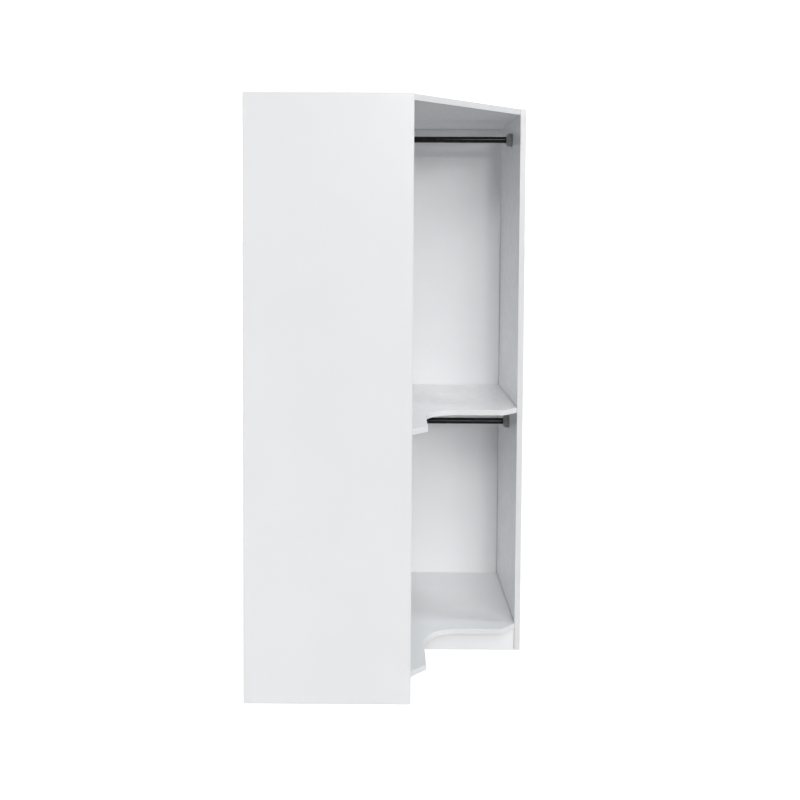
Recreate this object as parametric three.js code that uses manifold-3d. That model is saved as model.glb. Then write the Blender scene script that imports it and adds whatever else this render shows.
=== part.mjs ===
// Open corner wardrobe, flat-pack board construction. Millimetres, +Z up.
//
// Origin: middle of the footprint, on the floor. The room corner is at
// (-HALF, +HALF): one wall runs behind the left wing (X = -HALF), the other
// behind the right wing (Y = +HALF). Seen from the room, looking along +Y,
// the left end panel is nearest and +X is to the right.

import * as THREE from 'three';
import { mergeVertices } from 'three/addons/utils/BufferGeometryUtils.js';
import Module from 'manifold-3d';

// ---------------------------------------------------------------- dimensions

const HEIGHT = 2100;            // overall height
const WIDTH = 1020;             // along each wall
const HALF = WIDTH / 2;
const DEPTH = 577;              // depth of both end panels, wall to front edge
const T_PANEL = 22;             // end panels and top
const T_SHELF = 20;             // middle and bottom shelf
const T_BACK = 16;              // both back panels
const T_PLINTH = 16;            // both plinth boards

const NOSE = 58;                // shelves stand this far in front of the end panels
const INNER_RADIUS = 130;       // rounded inner corner of the shelves
const Z_MIDDLE = 956;           // upper face of the middle shelf
const Z_BOTTOM = 106;           // upper face of the bottom shelf

const ROD_DIAMETER = 25;
const ROD_WALL = 1.2;
const ROD_SETBACK = 345;        // rod axis from the wall behind the right wing
const Z_ROD_UPPER = 2004;
const Z_ROD_LOWER = 858;

const CUP_DIAMETER = 56;        // end cup that carries a rod
const CUP_LENGTH = 24;
const CUP_FLOOR = 4;
const CUP_BORE = 26.4;
const CUP_SCREW_OFFSET = 7;     // two screws, above and below the rod axis

const GAP = 0.3;                // clearance between pieces that touch
const JOINT_GAP = 0.8;          // shelf ends against the end panels
const BACK_GAP = 1.5;           // right back panel and plinth against the right end panel

const CAM_DIAMETER = 14.6;      // cam lock
const CAM_BORE = 15.4;
const CAM_INSET = 34;           // cam centre from the end panel's face
const CAM_FRONT = 70;           // bolt from the end panel's front edge
const CAM_REAR = 90;            // bolt from the end panel's rear edge
const CAM_AXIS_SHELF = 9.5;     // bolt axis above the shelf's lower face
const CAM_AXIS_TOP = 11;        // bolt axis below the top panel's upper face

const BACK_SCREW_LENGTH = 45;
const BACK_SCREW_SPREAD = 250;  // two per board, this far each side of the middle

// ------------------------------------------------------------ derived places

const X_FRONT = -HALF + DEPTH;           // front edge of the left end panel
const Y_FRONT = HALF - DEPTH;            // front edge of the right end panel
const Y_LEFT_IN = -HALF + T_PANEL;       // inner face of the left end panel
const X_RIGHT_IN = HALF - T_PANEL;       // inner face of the right end panel
const X_BACK_IN = -HALF + T_BACK;        // inner face of the left back panel
const Y_BACK_IN = HALF - T_BACK;         // inner face of the right back panel
const Z_TOP_UNDER = HEIGHT - T_PANEL;
const Y_ROD = HALF - ROD_SETBACK;

// ------------------------------------------------------------------ materials

const mat = (color, roughness, metalness) =>
  new THREE.MeshStandardMaterial({ color, roughness, metalness });
const white = () => mat(0xe9eaec, 0.42, 0.0);
const blackMetal = () => mat(0x17171a, 0.35, 0.6);
const darkGrey = () => mat(0x5b5f5c, 0.45, 0.4);
const zinc = () => mat(0xb9bcc0, 0.35, 0.9);
const steel = () => mat(0xa4a7ab, 0.3, 0.9);

// ------------------------------------------------------------- solid helpers

const wasm = await Module();
wasm.setup();

function toSolid(geometry) {
  let g = geometry.clone();
  g.deleteAttribute('normal');
  if (g.getAttribute('uv')) g.deleteAttribute('uv');
  g = mergeVertices(g, 1e-4);
  const pos = g.getAttribute('position');
  const idx = g.getIndex().array;
  const tri = [];
  let volume = 0;
  const a = new THREE.Vector3(), b = new THREE.Vector3(), c = new THREE.Vector3();
  for (let i = 0; i < idx.length; i += 3) {
    const [p, q, r] = [idx[i], idx[i + 1], idx[i + 2]];
    if (p === q || q === r || p === r) continue;
    a.fromBufferAttribute(pos, p); b.fromBufferAttribute(pos, q); c.fromBufferAttribute(pos, r);
    volume += a.dot(b.clone().cross(c));
    tri.push(p, q, r);
  }
  if (volume < 0) for (let i = 0; i < tri.length; i += 3) [tri[i + 1], tri[i + 2]] = [tri[i + 2], tri[i + 1]];
  return new wasm.Manifold(new wasm.Mesh({
    numProp: 3,
    vertProperties: new Float32Array(pos.array),
    triVerts: new Uint32Array(tri),
  }));
}

function toGeometry(solid) {
  const m = solid.getMesh();
  const g = new THREE.BufferGeometry();
  g.setAttribute('position', new THREE.BufferAttribute(new Float32Array(m.vertProperties), 3));
  g.setIndex(new THREE.BufferAttribute(new Uint32Array(m.triVerts), 1));
  g.computeVertexNormals();
  return g;
}

// Box from its lowest and highest corners.
function box(lo, hi) {
  const g = new THREE.BoxGeometry(hi[0] - lo[0], hi[1] - lo[1], hi[2] - lo[2]);
  g.translate((lo[0] + hi[0]) / 2, (lo[1] + hi[1]) / 2, (lo[2] + hi[2]) / 2);
  return toSolid(g);
}

// Flat board from a plan outline, between two heights.
function plate(shape, z0, z1, curveSegments = 24) {
  const g = new THREE.ExtrudeGeometry(shape, { depth: z1 - z0, bevelEnabled: false, curveSegments });
  g.translate(0, 0, z0);
  return toSolid(g);
}

// Turned shape: profile of [radius, height] pairs, its axis along direction
// dir ('x', '-x', 'y', '-y', 'z', '-z') from the point at.
function turned(profile, segments = 16) {
  return new THREE.LatheGeometry(profile.map(([r, h]) => new THREE.Vector2(r, h)), segments)
    .rotateX(Math.PI / 2);                       // axis from +Y to +Z
}
const TURN = {
  'z': new THREE.Euler(0, 0, 0),
  '-z': new THREE.Euler(Math.PI, 0, 0),
  'x': new THREE.Euler(0, Math.PI / 2, 0),
  '-x': new THREE.Euler(0, -Math.PI / 2, 0),
  'y': new THREE.Euler(-Math.PI / 2, 0, 0),
  '-y': new THREE.Euler(Math.PI / 2, 0, 0),
};
function aim(geometry, dir, at) {
  const g = geometry.clone();
  g.applyMatrix4(new THREE.Matrix4().makeRotationFromEuler(TURN[dir]));
  g.translate(at[0], at[1], at[2]);
  return g;
}
// Round hole or pin: radius r, from h0 to h1 along dir from the point at.
function round(r, h0, h1, dir, at, segments = 16) {
  return toSolid(aim(turned([[0, h0], [r, h0], [r, h1], [0, h1]], segments), dir, at));
}

function cutAll(solid, tools) {
  return tools.reduce((s, t) => s.subtract(t), solid);
}

const wardrobe = new THREE.Group();
wardrobe.name = 'corner_wardrobe';
const carcase = new THREE.Group();
const rails = new THREE.Group();
const fittings = new THREE.Group();
wardrobe.add(carcase, rails, fittings);

// A piece cut in the wardrobe's own frame, then placed by its own position.
function addPiece(parent, name, solid, at, material) {
  const g = toGeometry(solid);
  g.translate(-at[0], -at[1], -at[2]);
  const mesh = new THREE.Mesh(g, material);
  mesh.name = name;
  mesh.position.set(at[0], at[1], at[2]);
  parent.add(mesh);
  return mesh;
}
// A copy of a small repeated piece whose own axis is +Z.
function addCopy(parent, name, geometry, dir, at, material) {
  const mesh = new THREE.Mesh(geometry, material);
  mesh.name = name;
  mesh.rotation.copy(TURN[dir]);
  mesh.position.set(at[0], at[1], at[2]);
  parent.add(mesh);
  return mesh;
}

// ----------------------------------------------------------- joint positions

// Boards that are joined to the end panels with cam locks.
const levels = [
  { key: 'top', z: HEIGHT - CAM_AXIS_TOP, under: false, axis: CAM_AXIS_TOP, face: HEIGHT },
  { key: 'middle', z: Z_MIDDLE - T_SHELF + CAM_AXIS_SHELF, under: true, axis: CAM_AXIS_SHELF, face: Z_MIDDLE - T_SHELF },
  { key: 'bottom', z: Z_BOTTOM - T_SHELF + CAM_AXIS_SHELF, under: true, axis: CAM_AXIS_SHELF, face: Z_BOTTOM - T_SHELF },
];
// Left joints point from the left end panel into the boards (+Y), right joints
// from the right end panel into the boards (-X).
const joints = [];
for (const level of levels) {
  joints.push({ level, name: `${level.key}_left_front`, dir: 'y', at: [X_FRONT - CAM_FRONT, Y_LEFT_IN, level.z] });
  joints.push({ level, name: `${level.key}_left_rear`, dir: 'y', at: [-HALF + CAM_REAR, Y_LEFT_IN, level.z] });
  joints.push({ level, name: `${level.key}_right_front`, dir: '-x', at: [X_RIGHT_IN, Y_FRONT + CAM_FRONT, level.z] });
  joints.push({ level, name: `${level.key}_right_rear`, dir: '-x', at: [X_RIGHT_IN, HALF - CAM_REAR, level.z] });
}
const camCentre = (j) => j.dir === 'y'
  ? [j.at[0], j.at[1] + CAM_INSET, j.level.face]
  : [j.at[0] - CAM_INSET, j.at[1], j.level.face];

// Rods and their cups.
const rods = [
  { key: 'upper', z: Z_ROD_UPPER },
  { key: 'lower', z: Z_ROD_LOWER },
];
const cups = [];
for (const rod of rods) {
  cups.push({ rod, name: `${rod.key}_rod_cup_left`, dir: 'x', at: [X_BACK_IN + GAP, Y_ROD, rod.z] });
  cups.push({ rod, name: `${rod.key}_rod_cup_right`, dir: '-x', at: [X_RIGHT_IN - GAP, Y_ROD, rod.z] });
}

// Countersunk screws that hold the back panels to the three boards.
const backScrews = [];
for (const [i, s] of [[1, -1], [2, 1]]) {
  const u = s * BACK_SCREW_SPREAD;
  backScrews.push({ name: `back_screw_top_left_${i}`, dir: '-z', at: [-HALF + T_BACK / 2, u, HEIGHT] });
  backScrews.push({ name: `back_screw_top_right_${i}`, dir: '-z', at: [u, HALF - T_BACK / 2, HEIGHT] });
  for (const [key, z] of [['middle', Z_MIDDLE - T_SHELF / 2], ['bottom', Z_BOTTOM - T_SHELF / 2]]) {
    backScrews.push({ name: `back_screw_${key}_left_${i}`, dir: 'x', at: [-HALF, u, z] });
    backScrews.push({ name: `back_screw_${key}_right_${i}`, dir: '-y', at: [u, HALF, z] });
  }
}

// --------------------------------------------------------------------- holes

const boltHoles = joints.map((j) => round(2.9, -12.5, 1, j.dir, j.at, 8));
const boltBores = Object.fromEntries(levels.map((l) => [l.key, []]));
for (const j of joints) {
  boltBores[j.level.key].push(round(4.3, -1, CAM_INSET, j.dir, j.at, 8));
  const c = camCentre(j);
  const deep = j.level.axis + 4.7;
  boltBores[j.level.key].push(round(CAM_BORE / 2, -1, deep, j.level.under ? 'z' : '-z', c, 16));
}

const screwHoleProfile = [
  [0, -1], [4.6, -1], [4.6, 1.2], [2.5, 3.3], [2.5, BACK_SCREW_LENGTH + 1], [0, BACK_SCREW_LENGTH + 1],
];
const screwHoles = backScrews.map((s) => toSolid(aim(turned(screwHoleProfile, 10), s.dir, s.at)));

const cupPilots = [];
for (const c of cups) {
  for (const s of [-1, 1]) {
    cupPilots.push(round(2.2, -13, 1, c.dir, [c.dir === 'x' ? X_BACK_IN : X_RIGHT_IN, c.at[1], c.at[2] + s * CUP_SCREW_OFFSET], 8));
  }
}

// ------------------------------------------------------------------- boards

addPiece(carcase, 'left_end_panel', cutAll(
  box([-HALF, -HALF, 0], [X_FRONT, Y_LEFT_IN, HEIGHT]), boltHoles,
), [-HALF, -HALF, 0], white());

addPiece(carcase, 'right_end_panel', cutAll(
  box([X_RIGHT_IN, Y_FRONT, 0], [HALF, HALF, HEIGHT]), [...boltHoles, ...cupPilots],
), [X_RIGHT_IN, Y_FRONT, 0], white());

// The left back panel reaches the room corner, the right one stands against it.
addPiece(carcase, 'left_back_panel', cutAll(
  box([-HALF, Y_LEFT_IN + GAP, 0], [X_BACK_IN, HALF, Z_TOP_UNDER - GAP]), [...screwHoles, ...cupPilots],
), [-HALF, Y_LEFT_IN, 0], white());

addPiece(carcase, 'right_back_panel', cutAll(
  box([X_BACK_IN + GAP, Y_BACK_IN, 0], [X_RIGHT_IN - BACK_GAP, HALF, Z_TOP_UNDER - GAP]), screwHoles,
), [X_BACK_IN, Y_BACK_IN, 0], white());

// Five-sided top between the end panels, over both back panels, with a
// straight diagonal front edge.
const topShape = new THREE.Shape();
topShape.moveTo(-HALF, Y_LEFT_IN + GAP);
topShape.lineTo(X_FRONT, Y_LEFT_IN + GAP);
topShape.lineTo(X_RIGHT_IN - GAP, Y_FRONT);
topShape.lineTo(X_RIGHT_IN - GAP, HALF);
topShape.lineTo(-HALF, HALF);
topShape.closePath();
addPiece(carcase, 'top_panel', cutAll(
  plate(topShape, Z_TOP_UNDER, HEIGHT), [...boltBores.top, ...screwHoles],
), [-HALF, Y_LEFT_IN, Z_TOP_UNDER], white());

// L-shaped shelf: each wing stands NOSE in front of its end panel, with a
// 45 degree corner at the panel and a rounded inner corner between the wings.
function shelfShape() {
  const xn = X_FRONT + NOSE, yn = Y_FRONT - NOSE;
  const s = new THREE.Shape();
  s.moveTo(X_BACK_IN + GAP, Y_LEFT_IN + JOINT_GAP);
  s.lineTo(X_FRONT, Y_LEFT_IN + JOINT_GAP);
  s.lineTo(xn, Y_LEFT_IN + NOSE);
  s.lineTo(xn, yn - INNER_RADIUS);
  s.absarc(xn + INNER_RADIUS, yn - INNER_RADIUS, INNER_RADIUS, Math.PI, Math.PI / 2, true);
  s.lineTo(X_RIGHT_IN - NOSE, yn);
  s.lineTo(X_RIGHT_IN - JOINT_GAP, Y_FRONT);
  s.lineTo(X_RIGHT_IN - JOINT_GAP, Y_BACK_IN - GAP);
  s.lineTo(X_BACK_IN + GAP, Y_BACK_IN - GAP);
  s.closePath();
  return s;
}
addPiece(carcase, 'middle_shelf', cutAll(
  plate(shelfShape(), Z_MIDDLE - T_SHELF, Z_MIDDLE), [...boltBores.middle, ...screwHoles],
), [X_BACK_IN, Y_LEFT_IN, Z_MIDDLE - T_SHELF], white());
addPiece(carcase, 'bottom_shelf', cutAll(
  plate(shelfShape(), Z_BOTTOM - T_SHELF, Z_BOTTOM), [...boltBores.bottom, ...screwHoles],
), [X_BACK_IN, Y_LEFT_IN, Z_BOTTOM - T_SHELF], white());

// Plinth boards under the bottom shelf, flush with the end panels' front edges.
const Z_PLINTH = Z_BOTTOM - T_SHELF - GAP;
addPiece(carcase, 'right_plinth',
  box([X_FRONT - T_PLINTH, Y_FRONT, 0], [X_RIGHT_IN - BACK_GAP, Y_FRONT + T_PLINTH, Z_PLINTH]),
  [X_FRONT - T_PLINTH, Y_FRONT, 0], white());
addPiece(carcase, 'left_plinth',
  box([X_FRONT - T_PLINTH, Y_LEFT_IN + GAP, 0], [X_FRONT, Y_FRONT - GAP, Z_PLINTH]),
  [X_FRONT - T_PLINTH, Y_LEFT_IN, 0], white());

// --------------------------------------------------------------------- rods

const ROD_END_PLAY = 1;
const rodX0 = X_BACK_IN + GAP + CUP_FLOOR + ROD_END_PLAY;
const rodX1 = X_RIGHT_IN - GAP - CUP_FLOOR - ROD_END_PLAY;
const rodRadius = ROD_DIAMETER / 2;
const rodHalf = (rodX1 - rodX0) / 2;
const rodGeometry = toGeometry(toSolid(turned([
  [rodRadius - ROD_WALL, -rodHalf], [rodRadius - 0.3, -rodHalf], [rodRadius, -rodHalf + 0.3],
  [rodRadius, rodHalf - 0.3], [rodRadius - 0.3, rodHalf], [rodRadius - ROD_WALL, rodHalf],
  [rodRadius - ROD_WALL, -rodHalf],
], 40)));
for (const rod of rods) {
  addCopy(rails, `${rod.key}_rod`, rodGeometry, 'x', [(rodX0 + rodX1) / 2, Y_ROD, rod.z], blackMetal());
}

// Domed cup: wide foot on the board, rounded shoulder, open socket for the rod.
const cupR = CUP_DIAMETER / 2;
const cupOuter = toSolid(turned([
  [0, 0], [cupR, 0], [cupR, 3.4], [cupR - 1.0, 4.2], [cupR - 1.6, 9],
  [cupR - 4.2, 14], [cupR - 8.6, 18.8], [cupR - 12.2, 22.8],
  [CUP_BORE / 2 + 1.2, CUP_LENGTH],
  [CUP_BORE / 2, CUP_LENGTH], [CUP_BORE / 2, CUP_FLOOR], [0, CUP_FLOOR],
], 28));
const cupHollow = toSolid(turned([
  [CUP_BORE / 2 + 2.0, -1], [cupR - 3.6, -1], [cupR - 4.4, 8.6], [cupR - 9.4, 14.6],
  [CUP_BORE / 2 + 2.0, 15.6], [CUP_BORE / 2 + 2.0, -1],
], 14));
const cupScrewSeat = [-1, 1].map((s) => toSolid(aim(turned([
  [0, 5], [4.2, 5], [4.2, 3.1], [2.3, 1.2], [2.3, -1], [0, -1],
].reverse(), 10), 'z', [0, s * CUP_SCREW_OFFSET, 0])));
const cupGeometry = toGeometry(cutAll(cupOuter, [cupHollow, ...cupScrewSeat]));
// The cup's own +Y has to stand upright so that its screws sit one above the
// other: turn it a quarter about its own axis before it is aimed sideways.
cupGeometry.rotateZ(Math.PI / 2);
for (const c of cups) addCopy(rails, c.name, cupGeometry, c.dir, c.at, darkGrey());

// Countersunk screw, head up along +Z with its top at the origin.
function screwGeometry(length, headRadius, shankRadius, headHeight, driveRadius, driveDepth) {
  const body = toSolid(turned([
    [0, -length], [shankRadius, -length + 3.2],
    [shankRadius, -headHeight], [headRadius, -headHeight + (headRadius - shankRadius)],
    [headRadius, 0], [0, 0],
  ], 10));
  if (!driveRadius) return toGeometry(body);
  const drive = toSolid(turned([[0, -driveDepth], [driveRadius, -driveDepth], [driveRadius, 1], [0, 1]], 6));
  return toGeometry(body.subtract(drive));
}
const cupScrew = screwGeometry(16, 3.8, 1.8, 2.4, 1.4, 1.5);
for (const c of cups) {
  const out = c.dir === 'x' ? 1 : -1;
  for (const [label, s] of [['low', -1], ['high', 1]]) {
    const at = [c.at[0] + out * (CUP_FLOOR - 0.3), c.at[1], c.at[2] + s * CUP_SCREW_OFFSET];
    addCopy(fittings, `${c.name.replace('_rod_cup', '_cup')}_screw_${label}`, cupScrew, c.dir, at, steel());
  }
}

const backScrew = screwGeometry(BACK_SCREW_LENGTH, 4.2, 2.1, 3.0, 2.1, 2.2);
const OPPOSITE = { 'x': '-x', '-y': 'y', '-z': 'z' };
for (const s of backScrews) {
  const inset = 0.2;
  const at = [...s.at];
  if (s.dir === 'x') at[0] += inset;
  if (s.dir === '-y') at[1] -= inset;
  if (s.dir === '-z') at[2] -= inset;
  addCopy(fittings, s.name, backScrew, OPPOSITE[s.dir], at, zinc());
}

// ---------------------------------------------------------------- cam locks

// Cam: drum with a mouth for the bolt's head and a crossed drive slot in its
// visible face. Own frame: visible face at z = 0, drum along +Z, mouth to +X.
function camGeometry(axisHeight) {
  const r = CAM_DIAMETER / 2, h = axisHeight + 4.1;
  let drum = toSolid(turned([
    [0, 0.25], [r, 0.25], [r, h], [0, h],
  ], 16));
  const mouth = round(3.8, -4.6, r + 2, 'x', [0, 0, axisHeight], 8);
  const slotA = box([-4.2, -0.9, -1], [4.2, 0.9, 2.6]);
  const slotB = box([-0.9, -4.2, -1], [0.9, 4.2, 2.6]);
  drum = drum.subtract(mouth).subtract(slotA).subtract(slotB);
  return toGeometry(drum);
}
const camShelf = camGeometry(CAM_AXIS_SHELF);
const camTop = camGeometry(CAM_AXIS_TOP);

// Bolt: thread in the end panel, collar, shaft, neck and head. Own frame: the
// panel's face at z = 0, head along +Z.
const boltGeometry = toGeometry(toSolid(turned([
  [0, -11.5], [2.5, -10], [2.5, 0.9], [3.7, 0.9], [3.7, 2.8],
  [3.0, 2.8], [3.0, 26.8], [1.9, 28], [1.9, 31.2], [3.0, 32.4], [3.0, 36.2], [0, 36.8],
], 8)));

for (const j of joints) {
  const c = camCentre(j);
  // the mouth looks back at the end panel the bolt comes from
  const angle = j.dir === 'y' ? -Math.PI / 2 : 0;
  const holder = new THREE.Group();
  holder.position.set(c[0], c[1], c[2]);
  if (!j.level.under) holder.rotation.set(Math.PI, 0, 0);
  const mesh = new THREE.Mesh(j.level.under ? camShelf : camTop, zinc());
  mesh.name = `cam_lock_${j.name}`;
  mesh.rotation.z = j.level.under ? angle : -angle;
  holder.add(mesh);
  fittings.add(holder);
  addCopy(fittings, `cam_bolt_${j.name}`, boltGeometry, j.dir, j.at, steel());
}

export default wardrobe;
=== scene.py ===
"""Open corner wardrobe: finishes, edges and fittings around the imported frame.

Metres, +Z up, origin at the middle of the footprint on the floor. The room
corner is at -X, +Y; the left end panel is the one nearest the camera.
"""

import math

import bmesh
import bpy
from mathutils import Matrix, Vector


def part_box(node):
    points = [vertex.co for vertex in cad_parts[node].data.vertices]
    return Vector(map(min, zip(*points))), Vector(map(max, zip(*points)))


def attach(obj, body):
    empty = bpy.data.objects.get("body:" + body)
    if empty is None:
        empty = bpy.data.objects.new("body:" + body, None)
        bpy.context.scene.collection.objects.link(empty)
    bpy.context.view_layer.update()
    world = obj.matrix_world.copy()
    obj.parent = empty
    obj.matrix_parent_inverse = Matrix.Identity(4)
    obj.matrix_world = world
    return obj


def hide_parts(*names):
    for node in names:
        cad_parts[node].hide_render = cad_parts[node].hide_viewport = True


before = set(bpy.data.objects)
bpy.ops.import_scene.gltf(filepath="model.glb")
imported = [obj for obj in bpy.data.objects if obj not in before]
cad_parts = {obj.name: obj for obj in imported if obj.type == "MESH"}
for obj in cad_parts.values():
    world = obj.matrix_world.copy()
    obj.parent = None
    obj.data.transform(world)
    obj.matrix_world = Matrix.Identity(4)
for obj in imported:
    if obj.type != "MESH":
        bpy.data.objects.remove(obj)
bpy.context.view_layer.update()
scene = bpy.context.scene

MM = 0.001

# ------------------------------------------------------------------ dimensions
# millimetres, the same as the frame's

HEIGHT, WIDTH, DEPTH = 2100.0, 1020.0, 577.0
HALF = WIDTH / 2
T_PANEL, T_SHELF, T_BACK, T_PLINTH = 22.0, 20.0, 16.0, 16.0
NOSE, INNER_RADIUS = 58.0, 130.0
Z_MIDDLE, Z_BOTTOM = 956.0, 106.0
GAP, JOINT_GAP, BACK_GAP = 0.3, 0.8, 1.5
X_FRONT = -HALF + DEPTH
Y_FRONT = HALF - DEPTH
Y_LEFT_IN = -HALF + T_PANEL
X_RIGHT_IN = HALF - T_PANEL
X_BACK_IN = -HALF + T_BACK
Y_BACK_IN = HALF - T_BACK
Z_TOP_UNDER = HEIGHT - T_PANEL
Z_PLINTH = Z_BOTTOM - T_SHELF - GAP

ROD_DIAMETER, ROD_WALL = 25.0, 1.2
Y_ROD = HALF - 345.0
Z_RODS = {"upper": 2004.0, "lower": 858.0}
CUP_DIAMETER, CUP_LENGTH, CUP_FLOOR, CUP_BORE = 56.0, 24.0, 4.0, 26.4
CUP_SCREW_OFFSET = 7.0

CAM_DIAMETER, CAM_BORE, CAM_INSET = 14.6, 15.4, 34.0
CAM_FRONT, CAM_REAR = 70.0, 90.0
CAM_AXIS_SHELF, CAM_AXIS_TOP = 9.5, 11.0
BACK_SCREW_LENGTH, BACK_SCREW_SPREAD = 45.0, 250.0

# ---------------------------------------------------------------------- camera

# The eye stands in front of the left end panel's right half, a little above
# the upper bay's middle, and looks almost level along +Y.
CAM_AT = Vector((-0.05975, -3.79666, 1.64495))
CAM_YAW, CAM_PITCH, CAM_ROLL = 0.004394, math.radians(-3.0), 0.004442
CAM_FOCAL_PX, CAM_CENTRE_PX = 973.27, (371.55, 279.32)      # in an image 800 wide and high


def make_camera():
    data = bpy.data.cameras.new("camera")
    cam = bpy.data.objects.new("camera", data)
    scene.collection.objects.link(cam)
    cy, sy = math.cos(CAM_YAW), math.sin(CAM_YAW)
    cp, sp = math.cos(CAM_PITCH), math.sin(CAM_PITCH)
    forward = Vector((-sy * cp, cy * cp, sp))
    right = Vector((cy, sy, 0.0))
    up = right.cross(forward)
    cr, sr = math.cos(CAM_ROLL), math.sin(CAM_ROLL)
    x_axis = right * cr + up * sr
    y_axis = -right * sr + up * cr
    m = Matrix((x_axis, y_axis, -forward)).transposed().to_4x4()
    m.translation = CAM_AT
    cam.matrix_world = m
    data.sensor_width = 36.0
    data.lens = CAM_FOCAL_PX / 800.0 * 36.0
    data.shift_x = (400.0 - CAM_CENTRE_PX[0]) / 800.0
    data.shift_y = (CAM_CENTRE_PX[1] - 400.0) / 800.0
    data.clip_start, data.clip_end = 0.05, 400.0
    data.dof.use_dof = False
    scene.camera = cam
    return cam


make_camera()

# ------------------------------------------------------------------- materials


class Tree:
    """A small writer for one material's nodes."""

    def __init__(self, name):
        self.mat = bpy.data.materials.new(name)
        self.mat.use_nodes = True
        self.nodes = self.mat.node_tree.nodes
        self.links = self.mat.node_tree.links
        self.shader = self.nodes["Principled BSDF"]
        coords = self.nodes.new("ShaderNodeTexCoord")
        self.place = coords.outputs["Object"]

    def set(self, **values):
        for key, value in values.items():
            self.shader.inputs[key.replace("_", " ")].default_value = value
        return self

    def scaled(self, x, y, z):
        """Object coordinates, stretched."""
        m = self.nodes.new("ShaderNodeMapping")
        m.inputs["Scale"].default_value = (x, y, z)
        self.links.new(self.place, m.inputs["Vector"])
        return m.outputs["Vector"]

    def noise(self, scale, detail=2.0, rough=0.5, place=None, distort=0.0):
        n = self.nodes.new("ShaderNodeTexNoise")
        n.inputs["Scale"].default_value = scale
        n.inputs["Detail"].default_value = detail
        n.inputs["Roughness"].default_value = rough
        n.inputs["Distortion"].default_value = distort
        self.links.new(place or self.place, n.inputs["Vector"])
        return n.outputs["Fac"]

    def cells(self, scale, place=None, feature="F1", randomness=1.0, out="Color"):
        n = self.nodes.new("ShaderNodeTexVoronoi")
        n.feature = feature
        n.inputs["Scale"].default_value = scale
        n.inputs["Randomness"].default_value = randomness
        self.links.new(place or self.place, n.inputs["Vector"])
        return n.outputs[out]

    def span(self, value, lo, hi, to_lo, to_hi):
        n = self.nodes.new("ShaderNodeMapRange")
        n.clamp = True
        for key, v in (("From Min", lo), ("From Max", hi), ("To Min", to_lo), ("To Max", to_hi)):
            n.inputs[key].default_value = v
        self.links.new(value, n.inputs["Value"])
        return n.outputs["Result"]

    def math(self, op, a, b):
        n = self.nodes.new("ShaderNodeMath")
        n.operation = op
        for i, v in enumerate((a, b)):
            if hasattr(v, "links") or hasattr(v, "is_linked"):
                self.links.new(v, n.inputs[i])
            else:
                n.inputs[i].default_value = v
        return n.outputs["Value"]

    def blend(self, factor, a, b, mode="MIX"):
        n = self.nodes.new("ShaderNodeMix")
        n.data_type = "RGBA"
        n.blend_type = mode
        self.links.new(factor, n.inputs["Factor"])
        for key, v in ((6, a), (7, b)):
            if hasattr(v, "is_linked"):
                self.links.new(v, n.inputs[key])
            else:
                n.inputs[key].default_value = (*v, 1.0)
        return n.outputs[2]

    def ramp(self, value, stops):
        n = self.nodes.new("ShaderNodeValToRGB")
        el = n.color_ramp.elements
        while len(el) > 1:
            el.remove(el[-1])
        el[0].position, el[0].color = stops[0][0], (*stops[0][1], 1)
        for at, colour in stops[1:]:
            e = el.new(at)
            e.color = (*colour, 1)
        self.links.new(value, n.inputs["Fac"])
        return n.outputs["Color"]

    def colour(self, socket):
        self.links.new(socket, self.shader.inputs["Base Color"])
        return self

    def rough(self, socket):
        self.links.new(socket, self.shader.inputs["Roughness"])
        return self

    def bump(self, height, distance, strength=1.0):
        n = self.nodes.new("ShaderNodeBump")
        n.inputs["Distance"].default_value = distance
        n.inputs["Strength"].default_value = strength
        self.links.new(height, n.inputs["Height"])
        self.links.new(n.outputs["Normal"], self.shader.inputs["Normal"])
        return self


def melamine(name="white_melamine"):
    """White melamine face: pressed pearl texture under a satin gloss, with the faint cloudiness of the paper."""
    t = Tree(name)
    cloud = t.noise(3.2, 3.0, 0.55)
    speck = t.noise(420.0, 2.0, 0.6)
    tone = t.blend(t.span(cloud, 0.3, 0.7, 0.0, 1.0), (0.890, 0.8945, 0.904), (0.911, 0.913, 0.922))
    tone = t.blend(t.span(speck, 0.35, 0.75, 0.0, 0.35), tone, (0.877, 0.880, 0.888))
    t.colour(tone)
    t.rough(t.span(t.noise(38.0, 4.0, 0.6), 0.3, 0.7, 0.20, 0.27))
    pearl = t.math("ADD", t.noise(1150.0, 1.5, 0.5), t.math("MULTIPLY", t.noise(310.0, 2.0, 0.5), 0.8))
    t.bump(pearl, 0.000025, 0.45)
    t.set(IOR=1.5, Specular_IOR_Level=0.32)
    return t.mat


def edge_band(name="white_edge_band"):
    """ABS edge band: a touch smoother and warmer than the faces, scraped lengthwise after trimming."""
    t = Tree(name)
    cloud = t.noise(9.0, 2.0, 0.5)
    t.colour(t.blend(t.span(cloud, 0.3, 0.7, 0.0, 1.0), (0.794, 0.796, 0.802), (0.811, 0.812, 0.816)))
    t.rough(t.span(t.noise(160.0, 3.0, 0.6), 0.3, 0.7, 0.27, 0.35))
    t.bump(t.noise(900.0, 2.0, 0.5), 0.00002, 0.4)
    t.set(IOR=1.51)
    return t.mat


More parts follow.
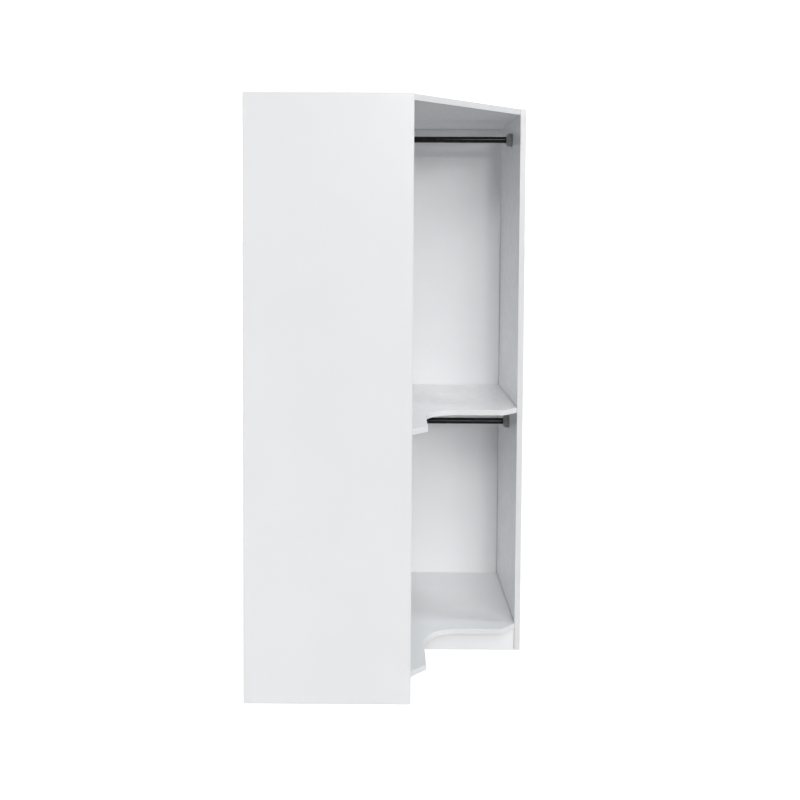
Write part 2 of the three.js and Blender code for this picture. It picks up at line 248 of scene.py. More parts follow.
def chipboard(name="chipboard_core"):
    """Raw board inside the bores: pale flakes in a brown ground."""
    t = Tree(name)
    flakes = t.cells(620.0, t.scaled(1.0, 1.0, 1.9))
    grey = t.nodes.new("ShaderNodeSeparateColor")
    t.links.new(flakes, grey.inputs["Color"])
    shade = t.ramp(grey.outputs["Red"], [(0.0, (0.20, 0.125, 0.06)), (0.35, (0.40, 0.27, 0.145)), (0.7, (0.56, 0.41, 0.235)), (1.0, (0.67, 0.52, 0.33))])
    t.colour(t.blend(t.noise(260.0, 3.0), shade, (0.42, 0.29, 0.16)))
    t.rough(t.span(t.noise(500.0), 0.3, 0.7, 0.8, 0.95))
    t.bump(t.noise(1400.0, 3.0, 0.6), 0.0003, 0.8)
    return t.mat


def rod_black(name="rod_black"):
    """Half-gloss black coating on the hanging tubes."""
    t = Tree(name)
    wide = t.noise(22.0, 3.0, 0.5)
    t.colour(t.blend(t.span(wide, 0.3, 0.7, 0.0, 1.0), (0.0022, 0.0022, 0.0025), (0.0036, 0.0036, 0.0040)))
    t.rough(t.span(t.noise(70.0, 3.0, 0.6, t.scaled(0.25, 1, 1)), 0.3, 0.7, 0.11, 0.16))
    t.bump(t.math("ADD", t.noise(950.0, 2.0, 0.5), t.math("MULTIPLY", t.noise(230.0, 1.0), 0.6)), 0.00001, 0.4)
    t.set(IOR=1.45, Specular_IOR_Level=0.32)
    return t.mat


def rod_bore(name="rod_bare_bore"):
    """The tubes' uncoated inside."""
    t = Tree(name)
    t.colour(t.blend(t.noise(45.0, 4.0, 0.6), (0.20, 0.19, 0.18), (0.36, 0.35, 0.34)))
    t.rough(t.span(t.noise(300.0, 3.0), 0.3, 0.7, 0.4, 0.6))
    t.set(Metallic=0.9)
    return t.mat


def cup_grey(name="cup_grey"):
    """Die-cast end cups, painted metallic grey."""
    t = Tree(name)
    flake = t.cells(5200.0)
    grey = t.nodes.new("ShaderNodeSeparateColor")
    t.links.new(flake, grey.inputs["Color"])
    base = t.blend(t.span(t.noise(60.0, 3.0, 0.6), 0.3, 0.7, 0.0, 1.0), (0.243, 0.256, 0.245), (0.290, 0.302, 0.291))
    t.colour(t.blend(t.span(grey.outputs["Red"], 0.72, 1.0, 0.0, 0.5), base, (0.40, 0.41, 0.40)))
    t.rough(t.span(t.noise(240.0, 3.0, 0.55), 0.3, 0.7, 0.32, 0.44))
    t.bump(t.noise(700.0, 2.0, 0.5), 0.00005, 0.5)
    t.set(Metallic=0.2)
    return t.mat


def zinc_cast(name="cam_zinc"):
    """Bare zinc die-casting of the cam locks."""
    t = Tree(name)
    t.colour(t.blend(t.span(t.noise(180.0, 4.0, 0.65), 0.3, 0.7, 0.0, 1.0), (0.42, 0.43, 0.44), (0.58, 0.59, 0.60)))
    t.rough(t.span(t.noise(900.0, 3.0, 0.6), 0.3, 0.7, 0.34, 0.55))
    t.bump(t.noise(1600.0, 3.0, 0.6), 0.00008, 0.6)
    t.set(Metallic=0.95)
    return t.mat


def bright_zinc(name="screw_zinc"):
    """Bright zinc plating on the screws."""
    t = Tree(name)
    t.colour(t.blend(t.span(t.noise(260.0, 3.0, 0.6), 0.3, 0.7, 0.0, 1.0), (0.60, 0.61, 0.62), (0.72, 0.73, 0.75)))
    t.rough(t.span(t.noise(1200.0, 3.0, 0.6), 0.3, 0.7, 0.2, 0.36))
    t.set(Metallic=1.0)
    return t.mat


def turned_steel(name="bolt_steel"):
    """Turned steel of the cam bolts and of the cups' screws."""
    t = Tree(name)
    t.colour(t.blend(t.noise(340.0, 3.0, 0.6), (0.45, 0.455, 0.46), (0.60, 0.605, 0.61)))
    t.rough(t.span(t.noise(1500.0, 2.0), 0.3, 0.7, 0.24, 0.42))
    t.set(Metallic=1.0)
    return t.mat


def studio_floor(name="studio_floor"):
    """Lit white studio floor with a very faint mottle: it glows a little, as an overlit sweep does."""
    t = Tree(name)
    t.colour(t.blend(t.span(t.noise(0.7, 3.0, 0.5), 0.3, 0.7, 0.0, 1.0), (0.44, 0.44, 0.445), (0.46, 0.46, 0.465)))
    t.rough(t.span(t.noise(3.0, 3.0), 0.3, 0.7, 0.75, 0.85))
    t.set(Specular_IOR_Level=0.0, Emission_Color=(1.0, 1.0, 1.0, 1.0), Emission_Strength=0.80)
    return t.mat


def studio_backdrop(name="studio_backdrop"):
    """Overlit white backdrop."""
    t = Tree(name)
    t.colour(t.blend(t.noise(0.02, 2.0, 0.5), (0.30, 0.30, 0.30), (0.32, 0.32, 0.32)))
    t.set(Roughness=0.9, Specular_IOR_Level=0.0, Emission_Color=(1.0, 1.0, 1.0, 1.0), Emission_Strength=1.05)
    return t.mat


M_FACE = melamine()
M_BAND = edge_band()
M_CORE = chipboard()
M_ROD = rod_black()
M_BORE = rod_bore()
M_CUP = cup_grey()
M_CAM = zinc_cast()
M_SCREW = bright_zinc()
M_STEEL = turned_steel()

# ---------------------------------------------------------------- mesh helpers


def new_object(name, bm, mats):
    me = bpy.data.meshes.new(name)
    bm.to_mesh(me)
    bm.free()
    for m in mats:
        me.materials.append(m)
    ob = bpy.data.objects.new(name, me)
    scene.collection.objects.link(ob)
    return ob


def settle(ob, sharp=35.0):
    """Applies the modifiers, then shades smooth with the given crease and lets the big faces rule the normals."""
    dg = bpy.context.evaluated_depsgraph_get()
    dg.update()
    if ob.modifiers:
        me = bpy.data.meshes.new_from_object(ob.evaluated_get(dg), depsgraph=dg)
        old = ob.data
        ob.modifiers.clear()
        ob.data = me
        bpy.data.meshes.remove(old)
        me.name = ob.name
    me = ob.data
    me.shade_smooth()
    me.set_sharp_from_angle(angle=math.radians(sharp))
    w = ob.modifiers.new("normals", "WEIGHTED_NORMAL")
    w.keep_sharp = True
    w.weight = 100
    return ob


def cut(ob, *cutters):
    """Boolean cuts; each cutter is a closed object that is removed afterwards. The cut faces take the cutter's material."""
    dg = bpy.context.evaluated_depsgraph_get()
    for c in cutters:
        m = ob.modifiers.new("cut", "BOOLEAN")
        m.operation = "DIFFERENCE"
        m.solver = "EXACT"
        m.object = c
        m.material_mode = "TRANSFER"
    dg = bpy.context.evaluated_depsgraph_get()
    dg.update()
    me = bpy.data.meshes.new_from_object(ob.evaluated_get(dg), depsgraph=dg)
    ob.modifiers.clear()
    old = ob.data
    ob.data = me
    bpy.data.meshes.remove(old)
    me.name = ob.name
    for c in cutters:
        cm = c.data
        bpy.data.objects.remove(c)
        bpy.data.meshes.remove(cm)
    return ob


def lathe_into(bm, profile, segments, matrix, closed=False, mats=None):
    """Adds a turned solid: (radius, height) pairs in mm round +Z, placed by matrix (mm)."""
    rings = []
    for r, h in profile:
        if r < 1e-6:
            rings.append([bm.verts.new(matrix @ Vector((0, 0, h)) * MM)])
        else:
            rings.append([
                bm.verts.new(matrix @ Vector((r * math.cos(a), r * math.sin(a), h)) * MM)
                for a in (2 * math.pi * i / segments for i in range(segments))
            ])
    pairs = list(zip(rings, rings[1:]))
    if closed:
        pairs.append((rings[-1], rings[0]))
    faces = []
    for k, (a, b) in enumerate(pairs):
        index = mats[k] if mats else 0
        for i in range(segments):
            j = (i + 1) % segments
            loop = ([a[0]] if len(a) == 1 else [a[i], a[j]]) + ([b[0]] if len(b) == 1 else [b[j], b[i]])
            if len(loop) >= 3:
                f = bm.faces.new(loop)
                f.material_index = index
                faces.append(f)
    return faces


def aim(direction, at, spin=0.0):
    """Matrix (mm) that turns +Z to direction ('x', '-x', ...) and moves to at, after a spin about its own axis."""
    turns = {
        "z": Matrix.Identity(4),
        "-z": Matrix.Rotation(math.pi, 4, "X"),
        "x": Matrix.Rotation(math.pi / 2, 4, "Y"),
        "-x": Matrix.Rotation(-math.pi / 2, 4, "Y"),
        "y": Matrix.Rotation(-math.pi / 2, 4, "X"),
        "-y": Matrix.Rotation(math.pi / 2, 4, "X"),
    }
    return Matrix.Translation(Vector(at)) @ turns[direction] @ Matrix.Rotation(spin, 4, "Z")


def rounded_outline(points, radius, segments=4, least_turn=20.0):
    """Plan outline with its corners eased to a radius. Points that only shape a curve stay."""
    out = []
    n = len(points)
    for i in range(n):
        p0, p1, p2 = (Vector(points[(i + k) % n]) for k in (-1, 0, 1))
        a, b = (p0 - p1).normalized(), (p2 - p1).normalized()
        inside = a.angle(b)
        if math.degrees(math.pi - inside) < least_turn:
            out.append(p1)
            continue
        t = radius / math.tan(inside / 2)
        centre = p1 + (a + b).normalized() * (radius / math.sin(inside / 2))
        v0, v1 = p1 + a * t - centre, p1 + b * t - centre
        theta = v0.angle(v1)
        for k in range(segments + 1):
            s = k / segments
            out.append(centre + (v0 * math.sin((1 - s) * theta) + v1 * math.sin(s * theta)) / math.sin(theta))
    return out


def area_of(points):
    return sum(points[i - 1].x * points[i].y - points[i].x * points[i - 1].y for i in range(len(points))) / 2


def inset(points, d):
    """Outline moved inward by d (anticlockwise outline)."""
    if d == 0:
        return list(points)
    out = []
    n = len(points)
    for i in range(n):
        p0, p1, p2 = points[i - 1], points[i], points[(i + 1) % n]
        e1, e2 = (p1 - p0).normalized(), (p2 - p1).normalized()
        n1, n2 = Vector((-e1.y, e1.x)), Vector((-e2.y, e2.x))
        out.append(p1 + (n1 + n2) * (d / (1 + n1.dot(n2))))
    return out


PLACE = {
    "z": lambda u, v, w: (u, v, w),          # outline in X, Y
    "y": lambda u, v, w: (u, w, v),          # outline in X, Z
    "x": lambda u, v, w: (w, u, v),          # outline in Y, Z
}


def board(name, outline, w0, w1, axis, band=2.0, ease=1.2, corner=2.6, cutters=()):
    """A melamine board: eased edges, an edge band all round and the hairline joint between band and face, as one closed shell in place of the frame's board."""
    pts = [Vector(p) for p in outline]
    if area_of(pts) < 0:
        pts.reverse()
    pts = rounded_outline(pts, corner)
    steps = 4
    profile = [(ease * (1 - math.cos(a)), ease * (1 - math.sin(a))) for a in (math.pi / 2 * k / steps for k in range(steps + 1))]
    groove, depth = 0.10, 0.12
    profile += [(band - groove, 0.0), (band, depth), (band + groove, 0.0)]
    place = PLACE[axis]
    bm = bmesh.new()
    rings = []
    for d, h in reversed(profile):
        rings.append([bm.verts.new(Vector(place(p.x, p.y, w0 + h)) * MM) for p in inset(pts, d)])
    for d, h in profile:
        rings.append([bm.verts.new(Vector(place(p.x, p.y, w1 - h)) * MM) for p in inset(pts, d)])
    n = len(pts)
    for a, b in zip(rings, rings[1:]):
        for i in range(n):
            j = (i + 1) % n
            bm.faces.new((a[i], a[j], b[j], b[i])).material_index = 1
    bm.faces.new(list(reversed(rings[0]))).material_index = 0
    bm.faces.new(rings[-1]).material_index = 0
    bmesh.ops.recalc_face_normals(bm, faces=bm.faces)
    ob = new_object(name, bm, [M_FACE, M_BAND])
    made = []
    for group in cutters:
        if group:
            cb = bmesh.new()
            for prof, segments, matrix in group:
                lathe_into(cb, prof, segments, matrix)
            bmesh.ops.recalc_face_normals(cb, faces=cb.faces)
            made.append(new_object(name + "_bores", cb, [M_CORE]))
    if made:
        cut(ob, *made)
    settle(ob)
    lo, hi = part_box(NODE_OF[name])
    xs = [v.co for v in ob.data.vertices]
    for k in range(3):
        if min(v[k] for v in xs) < lo[k] - 2e-6 or max(v[k] for v in xs) > hi[k] + 2e-6:
            raise ValueError(name + " leaves its board's place")
    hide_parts(NODE_OF[name])
    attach(ob, "carcase")
    return ob


NODE_OF = {
    "left_end_board": "left_end_panel",
    "right_end_board": "right_end_panel",
    "left_back_board": "left_back_panel",
    "right_back_board": "right_back_panel",
    "top_board": "top_panel",
    "middle_shelf_board": "middle_shelf",
    "bottom_shelf_board": "bottom_shelf",
    "left_plinth_board": "left_plinth",
    "right_plinth_board": "right_plinth",
}

# ------------------------------------------------------- joints, bores, screws

LEVELS = {
    "top": {"z": HEIGHT - CAM_AXIS_TOP, "under": False, "axis": CAM_AXIS_TOP, "face": HEIGHT},
    "middle": {"z": Z_MIDDLE - T_SHELF + CAM_AXIS_SHELF, "under": True, "axis": CAM_AXIS_SHELF, "face": Z_MIDDLE - T_SHELF},
    "bottom": {"z": Z_BOTTOM - T_SHELF + CAM_AXIS_SHELF, "under": True, "axis": CAM_AXIS_SHELF, "face": Z_BOTTOM - T_SHELF},
}
JOINTS = []
for key, level in LEVELS.items():
    JOINTS += [
        (key, "left_front", "y", (X_FRONT - CAM_FRONT, Y_LEFT_IN, level["z"])),
        (key, "left_rear", "y", (-HALF + CAM_REAR, Y_LEFT_IN, level["z"])),
        (key, "right_front", "-x", (X_RIGHT_IN, Y_FRONT + CAM_FRONT, level["z"])),
        (key, "right_rear", "-x", (X_RIGHT_IN, HALF - CAM_REAR, level["z"])),
    ]


def cam_centre(key, direction, at):
    face = LEVELS[key]["face"]
    return (at[0], at[1] + CAM_INSET, face) if direction == "y" else (at[0] - CAM_INSET, at[1], face)


def pin(r, h0, h1, direction, at, segments=32):
    return ([(0, h0), (r, h0), (r, h1), (0, h1)], segments, aim(direction, at))


panel_holes = [pin(2.9, -12.5, 1, d, at, 16) for _, _, d, at in JOINTS]
bolt_bores = {k: [] for k in LEVELS}
cam_bores = {k: [] for k in LEVELS}
for key, _, d, at in JOINTS:
    bolt_bores[key].append(pin(4.3, -1, CAM_INSET, d, at, 16))
    cam_bores[key].append(pin(CAM_BORE / 2, -1, LEVELS[key]["axis"] + 4.7, "z" if LEVELS[key]["under"] else "-z", cam_centre(key, d, at), 48))

BACK_SCREWS = []
for i, s in ((1, -1), (2, 1)):
    u = s * BACK_SCREW_SPREAD
    BACK_SCREWS += [
        (f"top_left_{i}", "-z", (-HALF + T_BACK / 2, u, HEIGHT)),
        (f"top_right_{i}", "-z", (u, HALF - T_BACK / 2, HEIGHT)),
    ]
    for key, z in (("middle", Z_MIDDLE - T_SHELF / 2), ("bottom", Z_BOTTOM - T_SHELF / 2)):
        BACK_SCREWS += [
            (f"{key}_left_{i}", "x", (-HALF, u, z)),
            (f"{key}_right_{i}", "-y", (u, HALF, z)),
        ]
SCREW_HOLE = [(0, -1), (4.6, -1), (4.6, 1.2), (2.5, 3.3), (2.5, BACK_SCREW_LENGTH + 1), (0, BACK_SCREW_LENGTH + 1)]


def screw_holes(*words):
    """The back screws' holes whose names hold one of these words."""
    return [(SCREW_HOLE, 24, aim(d, at)) for name, d, at in BACK_SCREWS if any(w in name for w in words)]


CUPS = []
for key, z in Z_RODS.items():
    CUPS += [(f"{key}_rod_cup_left", "x", (X_BACK_IN + GAP, Y_ROD, z)), (f"{key}_rod_cup_right", "-x", (X_RIGHT_IN - GAP, Y_ROD, z))]


def cup_pilots(direction):
    x = X_BACK_IN if direction == "x" else X_RIGHT_IN
    return [pin(2.2, -13, 1, d, (x, at[1], at[2] + s * CUP_SCREW_OFFSET), 16) for _, d, at in CUPS if d == direction for s in (-1, 1)]


# ---------------------------------------------------------------------- boards


def rect(u0, u1, v0, v1):
    return [(u0, v0), (u1, v0), (u1, v1), (u0, v1)]


def shelf_outline():
    xn, yn = X_FRONT + NOSE, Y_FRONT - NOSE
    pts = [
        (X_BACK_IN + GAP, Y_LEFT_IN + JOINT_GAP), (X_FRONT, Y_LEFT_IN + JOINT_GAP), (xn, Y_LEFT_IN + NOSE),
    ]
    cx, cy = xn + INNER_RADIUS, yn - INNER_RADIUS
    steps = 40
    for k in range(steps + 1):
        a = math.pi - math.pi / 2 * k / steps
        pts.append((cx + INNER_RADIUS * math.cos(a), cy + INNER_RADIUS * math.sin(a)))
    pts += [
        (X_RIGHT_IN - NOSE, yn), (X_RIGHT_IN - JOINT_GAP, Y_FRONT),
        (X_RIGHT_IN - JOINT_GAP, Y_BACK_IN - GAP), (X_BACK_IN + GAP, Y_BACK_IN - GAP),
    ]
    return pts


top_outline = [
    (-HALF, Y_LEFT_IN + GAP), (X_FRONT, Y_LEFT_IN + GAP), (X_RIGHT_IN - GAP, Y_FRONT), (X_RIGHT_IN - GAP, HALF), (-HALF, HALF),
]

board("left_end_board", rect(-HALF, X_FRONT, 0, HEIGHT), -HALF, Y_LEFT_IN, "y",
      cutters=[[h for h, j in zip(panel_holes, JOINTS) if j[2] == "y"]])
board("right_end_board", rect(Y_FRONT, HALF, 0, HEIGHT), X_RIGHT_IN, HALF, "x",
      cutters=[[h for h, j in zip(panel_holes, JOINTS) if j[2] == "-x"] + cup_pilots("-x")])
board("left_back_board", rect(Y_LEFT_IN + GAP, HALF, 0, Z_TOP_UNDER - GAP), -HALF, X_BACK_IN, "x", band=1.4, ease=0.9, corner=2.0,
      cutters=[screw_holes("middle_left", "bottom_left", "top_left") + cup_pilots("x")])
board("right_back_board", rect(X_BACK_IN + GAP, X_RIGHT_IN - BACK_GAP, 0, Z_TOP_UNDER - GAP), Y_BACK_IN, HALF, "y", band=1.4, ease=0.9, corner=2.0,
      cutters=[screw_holes("middle_right", "bottom_right", "top_right")])
board("top_board", top_outline, Z_TOP_UNDER, HEIGHT, "z",
      cutters=[cam_bores["top"] + screw_holes("top_"), bolt_bores["top"]])
board("middle_shelf_board", shelf_outline(), Z_MIDDLE - T_SHELF, Z_MIDDLE, "z",
      cutters=[cam_bores["middle"] + screw_holes("middle_"), bolt_bores["middle"]])
board("bottom_shelf_board", shelf_outline(), Z_BOTTOM - T_SHELF, Z_BOTTOM, "z",
      cutters=[cam_bores["bottom"] + screw_holes("bottom_"), bolt_bores["bottom"]])
board("right_plinth_board", rect(X_FRONT - T_PLINTH, X_RIGHT_IN - BACK_GAP - 0.7, 0, Z_PLINTH), Y_FRONT, Y_FRONT + T_PLINTH, "y", band=1.4, ease=0.9, corner=2.0)
board("left_plinth_board", rect(Y_LEFT_IN + GAP, Y_FRONT - GAP, 0, Z_PLINTH), X_FRONT - T_PLINTH, X_FRONT, "x", band=1.4, ease=0.9, corner=2.0)

# ------------------------------------------------------------------------ rods

ROD_X0 = X_BACK_IN + GAP + CUP_FLOOR + 1
ROD_X1 = X_RIGHT_IN - GAP - CUP_FLOOR - 1
for key, z in Z_RODS.items():
    bm = bmesh.new()
    r, ri, half, c = ROD_DIAMETER / 2, ROD_DIAMETER / 2 - ROD_WALL, (ROD_X1 - ROD_X0) / 2, 0.35
    prof = [
        (ri, -half + 0.2), (ri + 0.2, -half), (r - c, -half), (r - 0.3 * c, -half + 0.3 * c), (r, -half + c),
        (r, half - c), (r - 0.3 * c, half - 0.3 * c), (r - c, half), (ri + 0.2, half), (ri, half - 0.2),
    ]
    lathe_into(bm, prof, 96, aim("x", ((ROD_X0 + ROD_X1) / 2, Y_ROD, z)), closed=True, mats=[0] * 9 + [1])
    bmesh.ops.recalc_face_normals(bm, faces=bm.faces)
    rod = new_object(f"{key}_hanging_rod", bm, [M_ROD, M_BORE])
    settle(rod)
    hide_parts(f"{key}_rod")
    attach(rod, f"{key}_rod_body")

# ------------------------------------------------------------------------ cups


def arc(cr, ch, radius, a0, a1, steps):
    """Points of an arc in (radius, height), angles in degrees from the outward direction."""
    return [
        (cr + radius * math.cos(math.radians(a0 + (a1 - a0) * k / steps)), ch + radius * math.sin(math.radians(a0 + (a1 - a0) * k / steps)))
        for k in range(steps + 1)
    ]


def cup_profile():
    """Outer face from the foot to the lip, then down the socket to its floor."""
    R, L, b = CUP_DIAMETER / 2, CUP_LENGTH, CUP_BORE / 2
    p = [(0, 0), (R - 0.5, 0), (R, 0.5), (R, 2.9)]
    p += arc(R - 0.6, 2.9, 0.6, 0, 90, 3)[1:]            # foot flange
    p += [(R - 2.5, 3.7), (R - 2.7, 4.0), (R - 2.7, 5.9), (R - 2.4, 6.3), (R - 1.3, 6.6)]     # groove between foot and dome
    p += [(R - 1.0, 7.2), (R - 0.9, 9.0), (R - 1.2, 12.0), (R - 1.9, 14.8), (R - 3.1, 17.4), (R - 4.9, 19.8), (R - 7.2, 21.7), (R - 9.9, 23.0), (R - 12.6, 23.5)]
    p += arc(b + 1.2, L - 0.6, 0.6, 10, 90, 3)
    p += [(b + 0.6, L), (b, L - 0.6), (b, CUP_FLOOR + 0.8), (b - 0.8, CUP_FLOOR), (0, CUP_FLOOR)]
    return p


def cup_underside():
    b, R = CUP_BORE / 2, CUP_DIAMETER / 2
    return [(b + 2.0, -1), (R - 3.6, -1), (R - 4.4, 8.6), (R - 9.4, 14.6), (b + 2.0, 15.6)]


for name, direction, at in CUPS:
    bm = bmesh.new()
    m = aim(direction, at, math.pi / 2)
    lathe_into(bm, cup_profile(), 72, m)
    bmesh.ops.recalc_face_normals(bm, faces=bm.faces)
    cup = new_object(name + "_casting", bm, [M_CUP])
    hollow = bmesh.new()
    lathe_into(hollow, cup_underside(), 48, m, closed=True)
    bmesh.ops.recalc_face_normals(hollow, faces=hollow.faces)
    seats = bmesh.new()
    for s in (-1, 1):
        seat = [(0, -1), (2.3, -1), (2.3, 1.2), (4.2, 3.1), (4.2, 5), (0, 5)]
        lathe_into(seats, seat, 24, aim(direction, (at[0], at[1], at[2] + s * CUP_SCREW_OFFSET)))
    bmesh.ops.recalc_face_normals(seats, faces=seats.faces)
    cut(cup, new_object("hollow", hollow, [M_CUP]), new_object("seats", seats, [M_CUP]))
    settle(cup, 40)
    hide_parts(name)
    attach(cup, "carcase")

# ---------------------------------------------------------------------- screws


def cross_cutter(bm, matrix, arm, width, depth, taper, top=0.8):
    """Cross recess: a twelve-sided plus, narrowing to taper of its size at its floor."""
    a, w = arm, width / 2
    plus = [(a, -w), (a, w), (w, w), (w, a), (-w, a), (-w, w), (-a, w), (-a, -w), (-w, -w), (-w, -a), (w, -a), (w, -w)]
    levels = []
    for h, k in ((top, 1 + (1 - taper) * top / depth), (-depth, taper)):
        levels.append([bm.verts.new(matrix @ Vector((x * k, y * (k + (1 - k) * 0.4), h)) * MM) if abs(x) > abs(y)
                       else bm.verts.new(matrix @ Vector((x * (k + (1 - k) * 0.4), y * k, h)) * MM) for x, y in plus])
    hi, lo = levels
    for i in range(12):
        j = (i + 1) % 12
        bm.faces.new((lo[i], lo[j], hi[j], hi[i]))
    bm.faces.new(hi)
    bm.faces.new(list(reversed(lo)))


def screw(name, node, direction, at, length, head, shank, mat, recess):
    """Countersunk screw with a ridged shank; own +Z is out of its head."""
    bm = bmesh.new()
    m = aim(direction, at)
    prof = [(0, -length)]
    z = -length + 3.2
    prof.append((shank - 0.55, z))
    while z < -head - 8:
        prof += [(shank, z + 0.8), (shank - 0.5, z + 1.6)]
        z += 1.6
    prof += [(shank - 0.35, -head + 1.0), (head - 0.25, -0.45), (head, -0.3), (head - 0.1, -0.06), (head - 0.4, 0), (0, 0)]
    lathe_into(bm, prof, 32, m)
    bmesh.ops.recalc_face_normals(bm, faces=bm.faces)
    ob = new_object(name, bm, [mat])
    cb = bmesh.new()
    cross_cutter(cb, m, *recess)
    bmesh.ops.recalc_face_normals(cb, faces=cb.faces)
    cut(ob, new_object("recess", cb, [mat]))
    settle(ob, 30)
    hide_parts(node)
    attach(ob, "carcase")
    return ob


OPPOSITE = {"x": "-x", "-y": "y", "-z": "z"}
for name, direction, at in BACK_SCREWS:
    at = list(at)
    at[{"x": 0, "-y": 1, "-z": 2}[direction]] += 0.2 if direction == "x" else -0.2
    screw(f"back_screw_{name}_csk", f"back_screw_{name}", OPPOSITE[direction], at, BACK_SCREW_LENGTH, 4.2, 2.1, M_SCREW, (2.5, 1.15, 2.2, 0.45))

for name, direction, at in CUPS:
    out = 1 if direction == "x" else -1
    for label, s in (("low", -1), ("high", 1)):
        node = f"{name.replace('_rod_cup', '_cup')}_screw_{label}"
        screw(node + "_csk", node, direction, (at[0] + out * (CUP_FLOOR - 0.3), at[1], at[2] + s * CUP_SCREW_OFFSET), 16.0, 3.8, 1.8, M_STEEL, (2.1, 1.0, 1.6, 0.45))

# ------------------------------------------------------------------- cam locks


def cam_lock(key, place, direction, at):
    level = LEVELS[key]
    axis = level["axis"]
    r, h = CAM_DIAMETER / 2, axis + 4.1
    centre = cam_centre(key, direction, at)
    angle = -math.pi / 2 if direction == "y" else 0.0
    if level["under"]:
        m = Matrix.Translation(Vector(centre)) @ Matrix.Rotation(angle, 4, "Z")
    else:
        m = Matrix.Translation(Vector(centre)) @ Matrix.Rotation(math.pi, 4, "X") @ Matrix.Rotation(-angle, 4, "Z")
    bm = bmesh.new()
    lathe_into(bm, [(0, 0.45), (r - 1.5, 0.45), (r - 1.3, 0.25), (r - 0.45, 0.25), (r, 0.7), (r, h - 0.4), (r - 0.4, h), (0, h)], 48, m)
    bmesh.ops.recalc_face_normals(bm, faces=bm.faces)
    ob = new_object(f"cam_{key}_{place}_drum", bm, [M_CAM])
    mouth = bmesh.new()
    lathe_into(mouth, [(0, -4.6), (3.8, -4.6), (3.8, r + 2), (0, r + 2)], 24, m @ Matrix.Translation((0, 0, axis)) @ Matrix.Rotation(math.pi / 2, 4, "Y"))
    bmesh.ops.recalc_face_normals(mouth, faces=mouth.faces)
    marks = bmesh.new()
    flip = Matrix.Rotation(math.pi, 4, "X")
    cross_cutter(marks, m @ flip, 4.0, 1.7, 2.6, 0.72)
    # pointer towards the bolt
    tri = [(4.75, -0.95), (6.0, 0.0), (4.75, 0.95)]
    hi = [marks.verts.new(m @ Vector((x, y, -0.5)) * MM) for x, y in tri]
    lo = [marks.verts.new(m @ Vector((x, y, 0.8)) * MM) for x, y in tri]
    for i in range(3):
        j = (i + 1) % 3
        marks.faces.new((hi[i], hi[j], lo[j], lo[i]))
    marks.faces.new(hi)
    marks.faces.new(list(reversed(lo)))
    bmesh.ops.recalc_face_normals(marks, faces=marks.faces)
    cut(ob, new_object("mouth", mouth, [M_CAM]), new_object("marks", marks, [M_CAM]))
    settle(ob, 30)
    node = f"cam_lock_{key}_{place}"
    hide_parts(node)
    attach(ob, "carcase")


def cam_bolt(key, place, direction, at):
    """Dowel bolt: ridged thread in the end panel, collar, shaft, neck and domed head."""
    bm = bmesh.new()
    prof = [(0, -11.5), (1.9, -10.4)]
    z = -10.4
    while z < -0.6:
        prof += [(2.5, z + 0.7), (2.0, z + 1.4)]
        z += 1.4
    prof += [(2.0, 0.9), (3.4, 0.9), (3.7, 1.2), (3.7, 2.5), (3.4, 2.8), (3.0, 2.8), (3.0, 26.8), (1.9, 28.0), (1.9, 31.2), (3.0, 32.4), (3.0, 35.6), (2.5, 36.4), (1.5, 36.75), (0, 36.8)]
    lathe_into(bm, prof, 24, aim(direction, at))
    bmesh.ops.recalc_face_normals(bm, faces=bm.faces)
    ob = new_object(f"bolt_{key}_{place}_turned", bm, [M_STEEL])
    settle(ob, 30)
    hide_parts(f"cam_bolt_{key}_{place}")
    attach(ob, "carcase")


for key, place, direction, at in JOINTS:
    cam_lock(key, place, direction, at)
    cam_bolt(key, place, direction, at)

# ---------------------------------------------------------------------- studio


def make_floor():
    """The floor shows and takes soft shadows. The light that it would throw back comes from the world's lower half."""
    bm = bmesh.new()
    s = 300.0
    vs = [bm.verts.new((x, y, -0.0006)) for x, y in ((-s, -s), (s, -s), (s, s), (-s, s))]
    bm.faces.new(vs)
    floor = new_object("studio_floor", bm, [studio_floor()])
    floor.visible_diffuse = False
    floor.visible_glossy = False
    floor.visible_shadow = False
    return floor


def make_backdrop():
    """White dome far behind everything, on all sides, its rim below the floor. Like the floor, it throws no light of its own."""
    bm = bmesh.new()
    bmesh.ops.create_uvsphere(bm, u_segments=96, v_segments=48, radius=110.0)
    bmesh.ops.delete(bm, geom=[v for v in bm.verts if v.co.z < -0.01], context="VERTS")
    bmesh.ops.reverse_faces(bm, faces=bm.faces)
    for f in bm.faces:
        f.smooth = True
    for v in bm.verts:
        v.co.z -= 0.05
    dome = new_object("studio_backdrop", bm, [studio_backdrop()])
    dome.visible_diffuse = False
    dome.visible_glossy = False
    dome.visible_shadow = False
    return dome


def lamp(azimuth, elevation, strength, colour=(1.0, 1.0, 1.0), width=14.0):
    """A far, wide studio lamp. Azimuth runs from the front (-Y) towards the right (+X)."""
    data = bpy.data.lights.new(f"lamp_{azimuth:+d}_{elevation:d}", "SUN")
    data.energy = strength
    data.angle = math.radians(width)
    data.color = colour
    ob = bpy.data.objects.new(data.name, data)
    scene.collection.objects.link(ob)
    a, e = math.radians(azimuth), math.radians(elevation)
    to = Vector((math.sin(a) * math.cos(e), -math.cos(a) * math.cos(e), math.sin(e)))
    ob.location = to * 8.0
    ob.rotation_mode = "QUATERNION"
    ob.rotation_quaternion = to.to_track_quat("Z", "Y")
    return ob


make_floor()
make_backdrop()

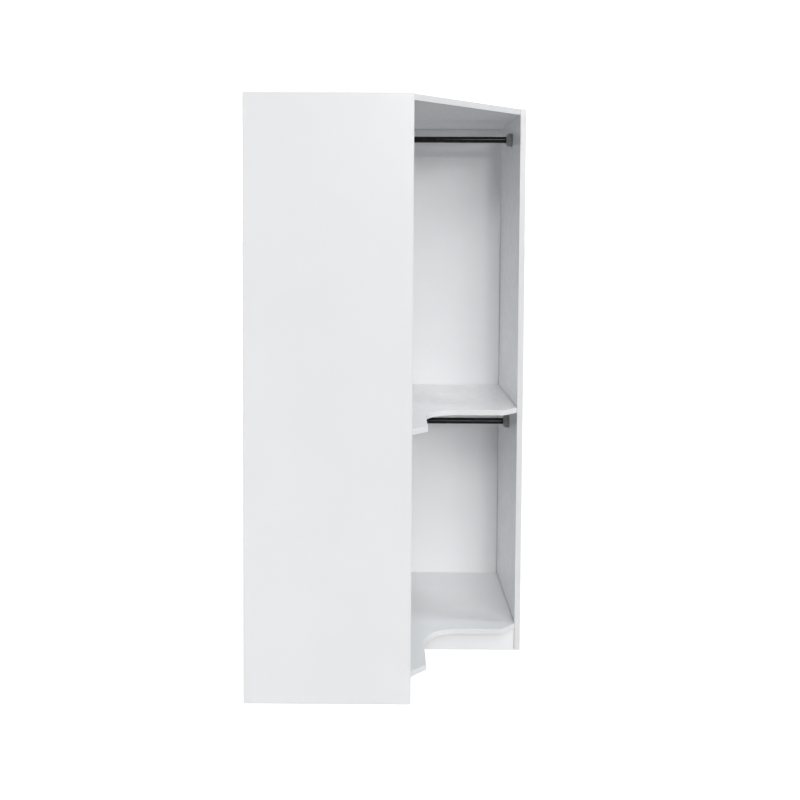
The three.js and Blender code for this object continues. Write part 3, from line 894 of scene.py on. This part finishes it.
# a broad bank in front and to the right, from low to high, and a cooler side lamp that reaches into the bays
for azimuth, elevation, strength in (
    (28, 17, 0.31), (17, 17, 0.19), (17, 6, 0.125), (6, 17, 0.235), (6, 28, 0.205), (-5, 28, 0.41),
    (-5, 40, 0.16), (-5, 54, 0.11), (28, 40, 0.06), (28, 54, 0.25), (10, 72, 0.04),
):
    lamp(azimuth, elevation, strength)
lamp(80, 30, 0.875, (0.91, 1.0, 1.065))
# smaller lamps low in front: they draw the upper rod's soft shadow on the back panel and the rods' gloss
lamp(6, 6, 0.10, width=4.0)
lamp(6, 12, 0.12, width=8.0)
lamp(17, 12, 0.07, width=8.0)

WORLD_BAND, WORLD_BACK, WORLD_LEFT, WORLD_DOWN = 0.20, 0.88, 0.40, 0.394


def make_world():
    """White room: bright low behind and to the left, dim overhead and in front, and the floor's light from below."""
    world = bpy.data.worlds.new("studio")
    world.use_nodes = True
    scene.world = world
    nodes, links = world.node_tree.nodes, world.node_tree.links
    sky = nodes["Background"]
    sky.inputs["Color"].default_value = (1.0, 1.0, 1.0, 1.0)
    axes = nodes.new("ShaderNodeSeparateXYZ")
    links.new(nodes.new("ShaderNodeTexCoord").outputs["Generated"], axes.inputs["Vector"])
    x, y, z = (axes.outputs[k] for k in "XYZ")

    def calc(op, a, b=0.0):
        n = nodes.new("ShaderNodeMath")
        n.operation = op
        for i, v in enumerate((a, b)):
            if isinstance(v, float):
                n.inputs[i].default_value = v
            else:
                links.new(v, n.inputs[i])
        return n.outputs["Value"]

    def near_horizon(spread):
        """exp(-(z / spread) squared)"""
        t = calc("MULTIPLY", z, 1.0 / spread)
        return calc("EXPONENT", calc("MULTIPLY", calc("MULTIPLY", t, t), -1.0))

    left = calc("MAXIMUM", calc("MULTIPLY", x, -1.0), 0.0)
    left = calc("MULTIPLY", calc("MULTIPLY", left, left), near_horizon(0.6))
    upper = calc("MULTIPLY", near_horizon(0.3), WORLD_BAND)
    upper = calc("ADD", upper, calc("MULTIPLY", calc("MAXIMUM", y, 0.0), WORLD_BACK))
    upper = calc("ADD", upper, calc("MULTIPLY", left, WORLD_LEFT))
    above = calc("GREATER_THAN", z, -0.004)
    lower = calc("MULTIPLY", calc("SUBTRACT", 1.0, above), WORLD_DOWN)
    links.new(calc("ADD", calc("MULTIPLY", above, upper), lower), sky.inputs["Strength"])


make_world()
scene.cycles.diffuse_bounces = 8

scene.view_settings.view_transform = "Standard"
scene.view_settings.look = "None"
scene.view_settings.exposure = 0.0
scene.view_settings.gamma = 1.0
